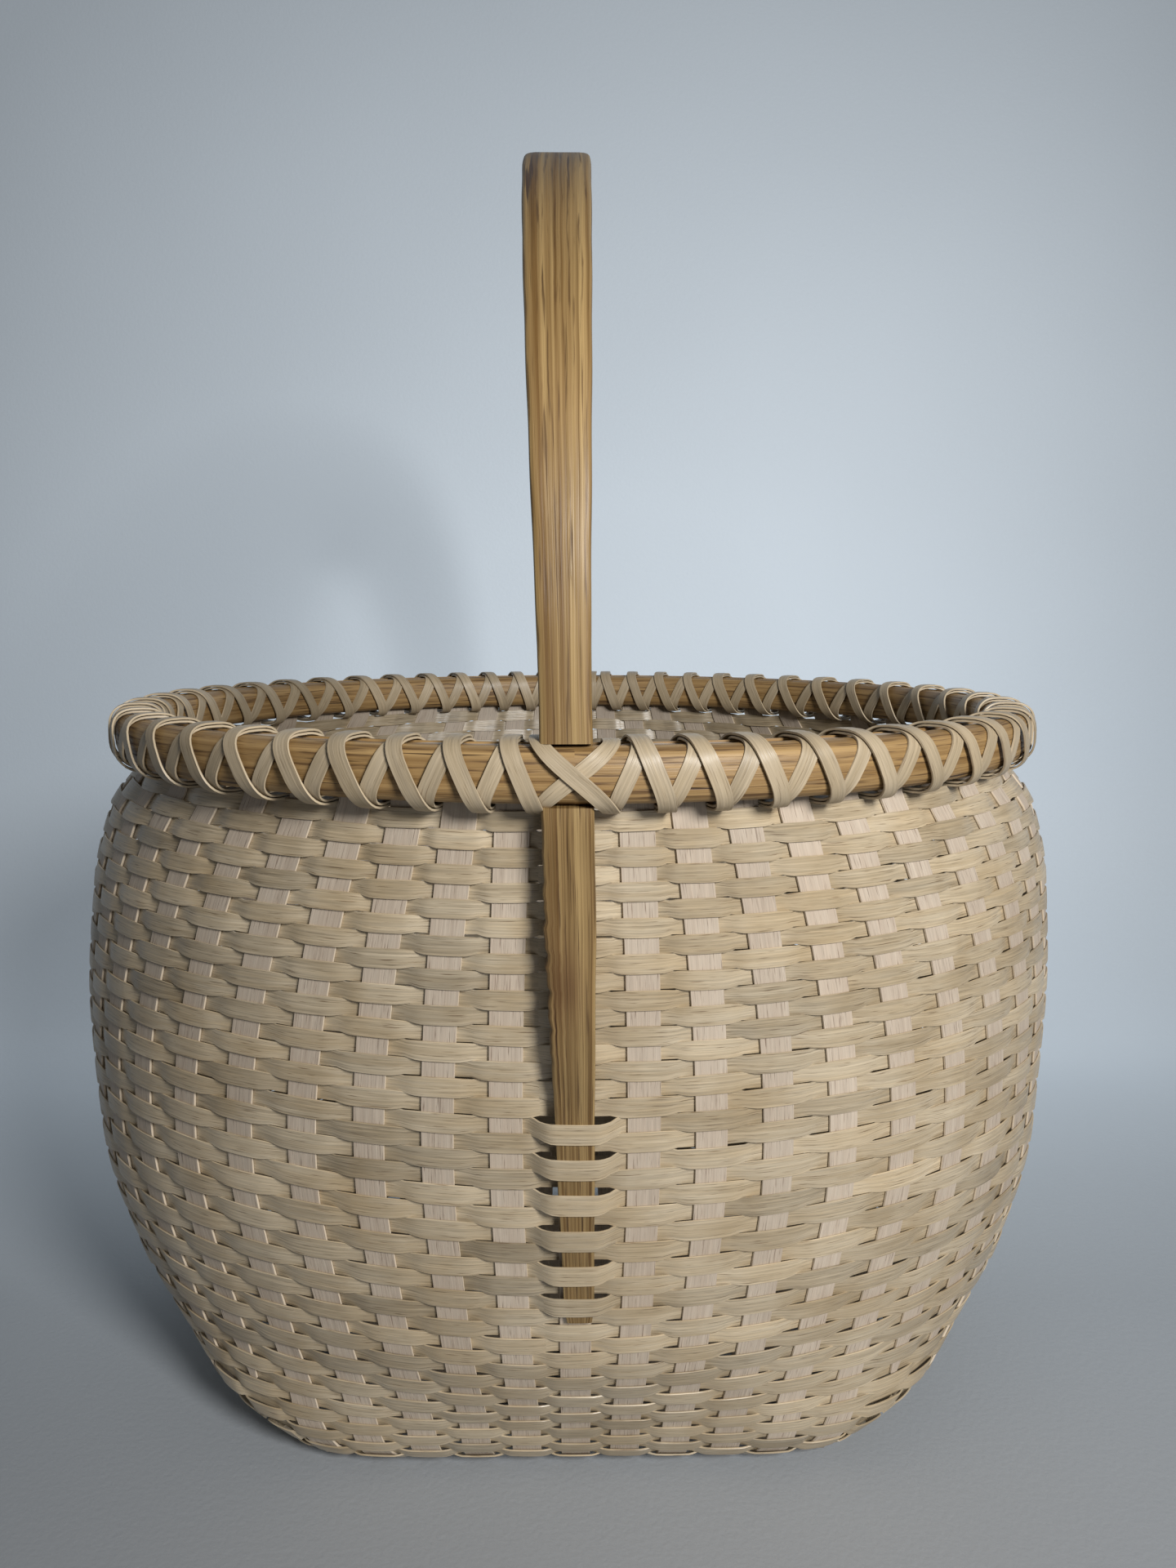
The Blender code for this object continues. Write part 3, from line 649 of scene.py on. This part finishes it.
def weaver(row, height, pitch):
    """One weaver: a closed strip, over one upright and under the next, with a small wander of its own."""
    share = height / RIM_HEIGHT
    column = np.arange(COLUMNS * WEAVER_STEPS) / WEAVER_STEPS - 0.5
    nearest = np.floor(column + 0.5)
    apart = np.abs(column - nearest)
    half = upright_half(nearest, share)
    over = np.where((nearest + row) % 2 == 0, 1.0, -1.0)
    crest = 1 + WEAVER_CREST * (1 - (apart / half) ** 2)
    fall = np.cos(math.pi / 2 * np.clip((apart - half) / (0.5 - half), 0, 1))
    lift = (UPRIGHT_THICKNESS + WEAVER_THICKNESS) / 2 + WEAVE_SLACK
    offset = over * lift * np.where(apart < half, crest, fall)
    if row % 2 == 0 and row >= FIRST_TUCKED_ROW and height > TAIL_TIP:
        from_tail = np.abs((column + COLUMNS / 4) % (COLUMNS / 2) - COLUMNS / 4)
        eased = smooth_step((TAIL_REACH_COLUMNS - from_tail) / (TAIL_REACH_COLUMNS - TAIL_FLAT_COLUMNS))
        offset = offset + tail_thickness(height) * eased
    starts = rng.uniform(0, 2 * math.pi, len(ROW_WANDERS) + 1)
    turn = column / COLUMNS * 2 * math.pi
    wander = sum(size * np.sin(waves * turn + start) for (size, waves), start in zip(ROW_WANDERS, starts))
    wander = wander + UPRIGHT_WANDER * np.sin(math.pi * column + starts[-1])
    here = wall(column, share + wander / RIM_HEIGHT)
    centres = here.place + here.out * offset[:, None]
    tangent = unit(np.roll(centres, -1, 0) - np.roll(centres, 1, 0))
    face = unit(np.cross(tangent, here.up))
    # Narrowest where it passes its neighbours between two uprights, widest over an upright
    nearness = np.abs(np.where(apart < half, 1.0, fall))
    fill = ROW_CROSSING_SHARE + (ROW_FILL_SHARE - ROW_CROSSING_SHARE) * nearness
    width = pitch / np.maximum(here.up[:, 2], LEAST_STEEPNESS) * fill
    # A brick is the stretch over one upright, out to the middles of its two neighbours
    bricks = COLUMNS // 2
    brick = (np.floor((column + 1 - row % 2) / 2) % bricks).astype(int)
    brick_tones = rng.normal(0, BRICK_TONE_SPREAD, bricks)
    brick_tones -= DARK_BRICK_TONE * (rng.random(bricks) < DARK_BRICK_SHARE)
    tone = rng.normal(0, ROW_TONE_SPREAD) + brick_tones[brick]
    # The weaver's inner face gets painted shade
    item = sweep(f"weaver_row_{row + 2:02d}", centres, here.up, face, width, WEAVER_THICKNESS, closed=True,
                 tones=tone, start_v=row * ROW_GRAIN_STEP, cut_edges=0.0, back_painted_shade=INNER_FACE_PAINTED_SHADE)
    return dress(item, WEAVER, "splint_weaver", "top_weaver" if row < 1 else "weaver_wall")


def upright_path(column, bottom_share):
    """Places up one upright, with its directions, from the given share to the top of the splints."""
    shares = np.linspace(bottom_share, WALL_TOP / RIM_HEIGHT, LEG_STEPS)
    return wall(np.full(LEG_STEPS, float(column)), shares)


def upright_strip(name, centres, sides, faces, widths, node):
    # The upright's inner face gets painted shade
    item = sweep(name, centres, sides, faces, widths, UPRIGHT_THICKNESS,
                 tones=rng.normal(0, UPRIGHT_TONE_SPREAD), start_v=float(rng.uniform(0, 1)),
                 back_painted_shade=INNER_FACE_PAINTED_SHADE)
    return dress(item, UPRIGHT, "splint_upright", node)


def through_splint(name, first_column, second_column, across, order, node):
    """A splint down one side, woven across the base and up the far side.

    across is the direction on the base from one such splint to the next.
    """
    first = upright_path(first_column, FOOT_SHARE)
    second = upright_path(second_column, FOOT_SHARE)
    across = np.array(across, float)
    run = np.cross([0, 0, 1.0], across)
    start_foot, end_foot = first.place[0], second.place[0]
    reach = LAST_SIDE_GAP * BASE_PITCH
    ways = np.linspace(-reach, reach, SIDE_SPLINTS * 2 + 1)
    beside = float((start_foot @ across + end_foot @ across) / 2)
    crossing = np.cos(math.pi * (ways / BASE_PITCH)) * (1 if order % 2 == 0 else -1)
    flat = across * beside + run * ways[:, None]
    flat[:, 2] = UPRIGHT_THICKNESS + BASE_CLEARANCE + BASE_WAVE * crossing
    if np.dot(start_foot - end_foot, run) > 0:
        flat = flat[::-1]
    bend_in = crease(start_foot, flat[0], first.place[1])
    bend_out = crease(end_foot, flat[-1], second.place[1])[::-1]
    centres = np.concatenate([first.place[::-1], bend_in, flat, bend_out, second.place])
    under = (len(bend_in) + len(flat) + len(bend_out), 1)
    sides = np.concatenate([first.along[::-1], np.tile(across, under), second.along])
    same = np.sign(np.einsum("ij,j->i", sides, across))
    sides = unit(sides * np.where(same == 0, 1, same)[:, None])
    outs = np.concatenate([first.out[::-1], np.tile([0.0, 0.0, -1.0], under), second.out])
    tangent = unit(np.gradient(centres, axis=0))
    faces = unit(np.cross(tangent, sides))
    faces *= np.sign(np.einsum("ij,ij->i", faces, outs))[:, None]
    sides = unit(np.cross(faces, tangent))
    return upright_strip(name, centres, sides, faces, UPRIGHT_WIDTH, node)


def crease(foot, edge, above):
    """The bend from the wall's foot to the base's edge: a short arc."""
    slope = foot - above
    corner = foot + slope * (foot[2] - edge[2]) / max(-slope[2], TINY) * CREASE_SHARE
    part = np.linspace(0, 1, CREASE_STEPS)[1:-1, None]
    return foot * (1 - part) ** 2 + corner * 2 * part * (1 - part) + edge * part * part


def corner_upright(number, column):
    """An upright added beside a corner, which starts in a point above the base."""
    path = upright_path(column, CORNER_FOOT / RIM_HEIGHT)
    above_foot = path.place[:, 2] - CORNER_FOOT
    widths = UPRIGHT_WIDTH * np.clip(CORNER_TIP_SHARE + above_foot / CORNER_TAPER, 0, 1)
    return upright_strip(f"corner_splint_{number:02d}", path.place, path.along, path.out, widths,
                         f"corner_upright_{number:02d}")


def weave():
    for row, height, pitch in weaver_rows():
        weaver(row, height, pitch)
    middle = SIDE_SPLINTS // 2
    for order in range(SIDE_SPLINTS):
        place = order - middle
        number = f"{order + 1:02d}"
        through_splint("crosswise_" + number, place, 2 * QUARTER - place, (1, 0, 0), order,
                       "crosswise_splint_" + number)
        through_splint("lengthwise_" + number, QUARTER + place, 3 * QUARTER - place, (0, 1, 0), order + 1,
                       "lengthwise_splint_" + number)
    for corner in range(4):
        for extra in range(2):
            corner_upright(corner * 2 + extra + 1, corner * QUARTER + middle + 1 + extra)


# Rim

def rounded(angle, power):
    """A point on a unit superellipse: (outward, upward)."""
    level, rise = np.cos(angle), np.sin(angle)
    return np.sign(level) * np.abs(level) ** (2 / power), np.sign(rise) * np.abs(rise) ** (2 / power)


def ring_point(column, radius, height):
    way = rim_direction(column)
    height = np.broadcast_to(height, way.shape[:-1])
    return np.stack([way[..., 0] * radius, way[..., 1] * radius, height], -1)


def ring_outward(column):
    """Level unit directions out of the rim."""
    way = rim_direction(column)
    return np.stack([way[:, 0], way[:, 1], np.zeros(len(way))], -1)


def inner_hoop_radius(column):
    """Radius of the inner hoop's flat outer face, inside the wall. It is a little less deep than wide."""
    way = rim_direction(column)
    gap = UPRIGHT_THICKNESS / 2 + WEAVER_THICKNESS + INNER_HOOP_GAP
    return 1 / np.hypot(way[..., 0] / (RIM_HALF_WIDTH - gap), way[..., 1] / (RIM_HALF_DEPTH - gap))


def hoop(name, inward, thickness, node, start_v):
    """A half-round hoop: flat against the wall, rounded on its other side."""
    columns = np.arange(RIM_STEPS) * COLUMNS / RIM_STEPS
    bulge, rise = rounded(np.linspace(-math.pi / 2, math.pi / 2, HOOP_ARC_POINTS), HOOP_POWER)
    # The section's first number runs up the hoop and its second out of its flat face
    section = list(zip(rise.tolist(), bulge.tolist()))
    flat = inner_hoop_radius(columns) if inward else np.full(RIM_STEPS, HOOP_INNER_RADIUS)
    radial = ring_outward(columns) * (-1 if inward else 1)
    centres = ring_point(columns, flat, HOOP_MIDDLE)
    turn = columns / COLUMNS * 2 * math.pi
    swell = sum((share * np.sin(waves * turn + start) for share, waves, start in HOOP_SWELLS), 1.0)
    up = np.tile([0.0, 0.0, 1.0], (RIM_STEPS, 1))
    item = sweep(name, centres, up, radial, HOOP_HEIGHT, thickness * swell, closed=True, section=section,
                 start_v=start_v)
    flip_if_inside_out(item)
    return dress(item, HOOP_OAK, "hoop_oak", node)


def fillers():
    """The flat splints that close the top of the rim between the two hoops, on each side of the handle."""
    half_round = COLUMNS / 2
    for name, first in (("rim_filler_right", 0), ("rim_filler_left", half_round)):
        columns = np.linspace(first + FILLER_START, first + half_round - FILLER_START, FILLER_STEPS)
        inner = inner_hoop_radius(columns)
        turn = np.linspace(0, 1, FILLER_STEPS)
        height = sum((size * np.sin(waves * turn) for size, waves in FILLER_WAVES), RIM_HEIGHT - FILLER_DEPTH)
        centres = ring_point(columns, (inner + HOOP_INNER_RADIUS) / 2, height)
        up = np.tile([0.0, 0.0, 1.0], (FILLER_STEPS, 1))
        item = sweep(name + "_splint", centres, ring_outward(columns), up, HOOP_INNER_RADIUS - inner,
                     FILLER_THICKNESS, start_v=FILLER_GRAIN + first)
        flip_if_inside_out(item)
        dress(item, UPRIGHT, "splint_upright", name)


def lash_turn(upright, way, lift):
    """One turn of the lashing: (centres, outward directions) up the outer hoop, over the top, down inside."""
    angles = np.linspace(GAP_ANGLE, GAP_ANGLE + 2 * math.pi, LASH_STEPS, endpoint=False)
    out, rise = rounded(angles, LASH_POWER)
    climbed = (rise + 1) / 2
    outside = angles < math.pi / 2
    if upright % (COLUMNS // 2) == 0:
        # Over a handle leg the whole step is on the outside, and the two passes make the large X
        moved = np.where(outside, climbed, 1.0)
    else:
        fallen = np.where(angles < 1.5 * math.pi, 1 - climbed, 1.0)
        moved = np.where(outside, climbed / 2, (1 + fallen) / 2)
    column = upright - 0.5 * way + way * moved
    inner = inner_hoop_radius(column) - INNER_HOOP
    middle, half = (RIM_RADIUS + inner) / 2, (RIM_RADIUS - inner) / 2
    slack = np.where(rise < 0, SLACK_BELOW, SLACK_ABOVE) * np.abs(rise) ** SLACK_POWER
    height = HOOP_MIDDLE + rise * (HOOP_HEIGHT / 2 + lift + slack)
    centres = ring_point(column, middle + out * (half + lift), height)
    lean = unit(np.stack([np.sign(out) * np.abs(out) ** (LASH_POWER - 1),
                          np.sign(rise) * np.abs(rise) ** (LASH_POWER - 1)], -1))
    direction = rim_direction(column)
    faces = np.stack([direction[:, 0] * lean[:, 0], direction[:, 1] * lean[:, 0], lean[:, 1]], -1)
    return centres, faces


def lashing(name, way, layer, node):
    """One pass: an unbroken strip all round the rim. The second runs the other way, on top of the first."""
    lift = STRIP_THICKNESS / 2 + STRIP_GAP + layer * STRIP_STEP
    turns = [lash_turn(upright, way, lift) for upright in range(0, COLUMNS * way, way)]
    centres, faces = (np.concatenate(part) for part in zip(*turns))
    tangent = unit(np.roll(centres, -1, 0) - np.roll(centres, 1, 0))
    sides = unit(np.cross(faces, tangent))
    faces = unit(np.cross(tangent, sides))
    widths = STRIP_WIDTH * (1 + np.repeat(rng.normal(0, STRIP_WIDTH_SPREAD, COLUMNS), LASH_STEPS))
    tones = np.repeat(rng.normal(0, LASH_TONE_SPREAD, COLUMNS), LASH_STEPS)
    item = sweep(name, centres, sides, faces, widths, STRIP_THICKNESS, closed=True, tones=tones,
                 start_v=LASH_GRAIN + layer)
    flip_if_inside_out(item)
    return dress(item, LASHING, "lashing", node)


def rim():
    hoop("rim_hoop_outside", False, OUTER_HOOP, "outer_rim_hoop", OUTER_HOOP_GRAIN)
    hoop("rim_hoop_inside", True, INNER_HOOP, "inner_rim_hoop", INNER_HOOP_GRAIN)
    fillers()
    lashing("lashing_rising_right", 1, 0, "lashing_first_pass")
    lashing("lashing_rising_left", -1, 1, "lashing_second_pass")


# Handle

def leg_stations():
    """(distance out, height, thickness, width) up one leg, from the tail's tip to the foot of the arc."""
    stations = []
    seat_gap = UPRIGHT_THICKNESS / 2 + TUCK_GAP
    over_weavers = UPRIGHT_THICKNESS / 2 + WEAVER_THICKNESS + WEAVER_GAP
    for height in np.linspace(TAIL_TIP, COLLAR_BOTTOM, TAIL_STEPS):
        here = wall(np.zeros(1), np.full(1, height / RIM_HEIGHT))
        lifted = np.clip((height - TUCK_TOP) / TUCK_EASE, 0, 1)
        gap = seat_gap + (over_weavers - seat_gap) * lifted
        tail = float(tail_thickness(height))
        thickness = tail + (LEG_THICKNESS - tail) * smooth_step((height - TUCK_TOP) / LEG_EASE)
        width = float(np.interp(height, LEG_HEIGHTS, LEG_WIDTHS))
        stations.append((-float(here.place[0, 1] + here.out[0, 1] * gap), height, thickness, width))
    seat = stations[-1][0]
    tongue = HOOP_INNER_RADIUS - TONGUE_GAP - seat
    notch_bottom, notch_top = HOOP_BOTTOM - NOTCH_BOTTOM_GAP, RIM_HEIGHT + NOTCH_TOP_GAP
    for height, thickness in ((notch_bottom - NOTCH_STEP, LEG_THICKNESS), (notch_bottom, tongue),
                              (notch_top, tongue), (notch_top + NOTCH_STEP, LEG_THICKNESS),
                              (RIM_HEIGHT + NOTCH_NECK, LEG_THICKNESS)):
        stations.append((seat, height, thickness, LEG_WIDTH))
    return stations


def handle_stations():
    """(inner face's y and z, outward direction, thickness, width) from the front tail to the back one."""
    leg = leg_stations()
    seat = leg[-1][0]
    rise = HANDLE_TOP - GRIP_THICKNESS - ARC_FOOT
    stations = [((-y, z), (-1.0, 0.0), thickness, width) for y, z, thickness, width in leg]
    for step in range(ARC_STEPS + 1):
        angle = math.pi * step / ARC_STEPS
        level, climb = math.cos(angle), max(math.sin(angle), 0.0)
        swell = climb ** ARC_SWELL_POWER
        way = np.array([-level * rise, climb * seat])
        stations.append(((-seat * level, ARC_FOOT + rise * climb), tuple(way / np.hypot(*way)),
                         LEG_THICKNESS + (GRIP_THICKNESS - LEG_THICKNESS) * swell,
                         LEG_WIDTH + (GRIP_WIDTH - LEG_WIDTH) * swell))
    stations += [((y, z), (1.0, 0.0), thickness, width) for y, z, thickness, width in reversed(leg)]
    return stations


def handle():
    """The carved hoop: tucked tails, notched legs, and an arc that widens and thickens to the grip."""
    inner, outward, thick, wide = (np.array(part) for part in zip(*handle_stations()))
    angles = np.linspace(0, 2 * math.pi, HANDLE_SECTION_STEPS, endpoint=False)
    across, out = rounded(angles, HANDLE_POWER)
    section = list(zip(across.tolist(), (out / 2).tolist()))
    faces = np.stack([np.zeros(len(outward)), outward[:, 0], outward[:, 1]], -1)
    places = np.stack([np.zeros(len(inner)), inner[:, 0], inner[:, 1]], -1)
    centres = places + faces * thick[:, None] / 2
    centres[:, 0] += HANDLE_LEAN * (centres[:, 2] - LEAN_HEIGHT)
    sides = np.tile([1.0, 0.0, 0.0], (len(centres), 1))
    # Tones: painted shade towards the grip's top, and darker below the rim
    tones = np.interp(centres[:, 2], HANDLE_DARKENING_HEIGHTS, HANDLE_DARKENING_TONES)
    item = sweep("carved_handle", centres, sides, faces, wide, thick, section=section, tones=tones,
                 start_v=HANDLE_GRAIN)
    roughen_handle(item)
    flip_if_inside_out(item)
    return dress(item, HANDLE_WOOD, "handle_wood", "handle")


def roughen_handle(item):
    """The knife's small facets everywhere, and the bark-side edge and knot low on the front leg."""
    mesh = item.data
    points = np.empty(len(mesh.vertices) * 3)
    mesh.vertices.foreach_get("co", points)
    points = points.reshape(-1, 3)
    x, y, z = points.T
    lean = HANDLE_LEAN * (z - LEAN_HEIGHT)
    left = np.clip(-(x - lean) / (LEG_WIDTH / 2), 0, 1) ** BARK_EDGE_POWER
    bark = left * np.exp(-((z - BARK_HEIGHT) / BARK_REACH) ** 2) * (y < 0)
    wave = sum(share * np.sin(z * waves + start) for share, waves, start in BARK_WAVES)
    points[:, 0] += bark * wave * BARK_DEPTH
    points[:, 0] += SIDE_FACET * np.sin(z * SIDE_FACET_Z + y * SIDE_FACET_Y) * np.sign(x - lean)
    points[:, 1] += FACE_FACET * np.sin(z * FACE_FACET_Z + x * FACE_FACET_X)
    mesh.vertices.foreach_set("co", points.ravel())
    up, aside = (z - KNOT_HEIGHT) / KNOT_HALF_HEIGHT, (x - lean + KNOT_LEFT) / KNOT_HALF_WIDTH
    knot = np.exp(-up ** 2 - aside ** 2) * (y < 0)
    add_attribute(mesh, "knot", np.maximum(knot, bark * BARK_KNOT_SHARE))


# Studio

def studio_paper():
    """Pale leathery paper, darker in front, with a painted pool of light on the backdrop that darkens away
    from its middle.
    """
    nodes = Nodes("studio_paper")
    place = nodes.object_place()
    parts = nodes.add("ShaderNodeSeparateXYZ", {"Vector": place}).outputs
    sideways = nodes.math("POWER", nodes.math("SUBTRACT", parts["X"], PAINTED_LIGHT_POOL[0]), 2.0)
    upward = nodes.math("POWER", nodes.math("SUBTRACT", parts["Z"], PAINTED_LIGHT_POOL[1]), 2.0)
    apart = nodes.math("SQRT", nodes.math("ADD", sideways, upward))
    cloud = nodes.noise(place, detail=2, scale=3.0)
    rise = nodes.span(parts["Y"], -0.25, 0.28)
    color = nodes.mix(rise, srgb(150, 152, 155), srgb(208, 219, 229))
    # Painted pool of light: the paper darkens away from a spot on the backdrop
    color = nodes.shade(color, nodes.span(apart, 0.15, 0.65, to_low=1.0, to_high=0.62))
    color = nodes.shade(color, nodes.span(cloud, 0.3, 0.7, to_low=0.97, to_high=1.03))
    # The backdrop gives off a little light of its own, so that shadows on it stay faint
    glow = nodes.shade(color, nodes.span(parts["Y"], 0.0, 0.30))
    nodes.feed(nodes.shader.inputs["Emission Color"], glow)
    nodes.shader.inputs["Emission Strength"].default_value = BACKDROP_GLOW
    leather = nodes.noise(place, detail=4, scale=420)
    paper = nodes.finish(color, 0.6, nodes.bump(leather, strength=0.20, distance=0.0010))
    # Seen from behind or below, the paper lets the view through to the basket
    reverse = nodes.add("ShaderNodeNewGeometry").outputs["Backfacing"]
    clear = nodes.add("ShaderNodeBsdfTransparent").outputs["BSDF"]
    either = nodes.add("ShaderNodeMixShader", {0: reverse, 1: nodes.shader.outputs["BSDF"], 2: clear})
    nodes.feed(nodes.tree.nodes["Material Output"].inputs["Surface"], either.outputs[0])
    return paper


def cyclorama():
    """A pale floor that rises in one sweep to the backdrop."""
    profile = [(FLOOR_FRONT, 0.0), (FLOOR_MIDDLE, 0.0), (0.0, 0.0)]
    for step in range(SWEEP_STEPS + 1):
        angle = math.pi / 2 * step / SWEEP_STEPS
        profile.append((BACKDROP_Y - SWEEP_RADIUS + SWEEP_RADIUS * math.sin(angle),
                        SWEEP_RADIUS - SWEEP_RADIUS * math.cos(angle)))
    profile.append((BACKDROP_Y, BACKDROP_HEIGHT))
    points = [(x, y, z - FLOOR_SINK) for y, z in profile for x in (-FLOOR_HALF_WIDTH, FLOOR_HALF_WIDTH)]
    strips = [(2 * k, 2 * k + 1, 2 * k + 3, 2 * k + 2) for k in range(len(profile) - 1)]
    mesh = bpy.data.meshes.new("studio_sweep")
    mesh.from_pydata(points, [], strips)
    mesh.shade_smooth()
    item = bpy.data.objects.new("studio_sweep", mesh)
    bpy.context.scene.collection.objects.link(item)
    mesh.materials.append(studio_paper())


def area_light(name, place, size, power, color):
    """A round soft light, turned to the middle of the basket."""
    light = bpy.data.lights.new(name, "AREA")
    light.shape = "DISK"
    light.size = size
    light.energy = power
    light.color = color
    item = bpy.data.objects.new(name, light)
    item.location = place
    way = Vector(np.subtract(LIGHT_TARGET, place))
    item.rotation_euler = way.to_track_quat("-Z", "Y").to_euler()
    bpy.context.scene.collection.objects.link(item)


def studio():
    cyclorama()
    area_light("key_light", place=(0.38, -0.82, 0.60), size=0.26, power=8.6, color=(1.0, 0.985, 0.965))
    area_light("fill_light", place=(-0.5, -1.0, 1.3), size=1.2, power=0.5, color=(0.94, 0.97, 1.0))
    world = bpy.data.worlds.new("studio_air")
    world.use_nodes = True
    air = world.node_tree.nodes["Background"].inputs
    air["Color"].default_value = srgb(218, 221, 225)
    air["Strength"].default_value = AIR_STRENGTH
    bpy.context.scene.world = world
    bpy.context.scene.view_settings.view_transform = "Standard"


def camera():
    data = bpy.data.cameras.new("photo_camera")
    data.sensor_fit = "VERTICAL"
    data.sensor_height = SENSOR
    data.lens = SENSOR * FOCAL_PIXELS / PHOTO_HEIGHT
    item = bpy.data.objects.new("photo_camera", data)
    item.location = CAMERA_PLACE
    item.rotation_euler = (math.pi / 2 - CAMERA_PITCH, 0.0, -CAMERA_YAW)
    bpy.context.scene.collection.objects.link(item)
    bpy.context.scene.camera = item


weave()
rim()
handle()
studio()
camera()
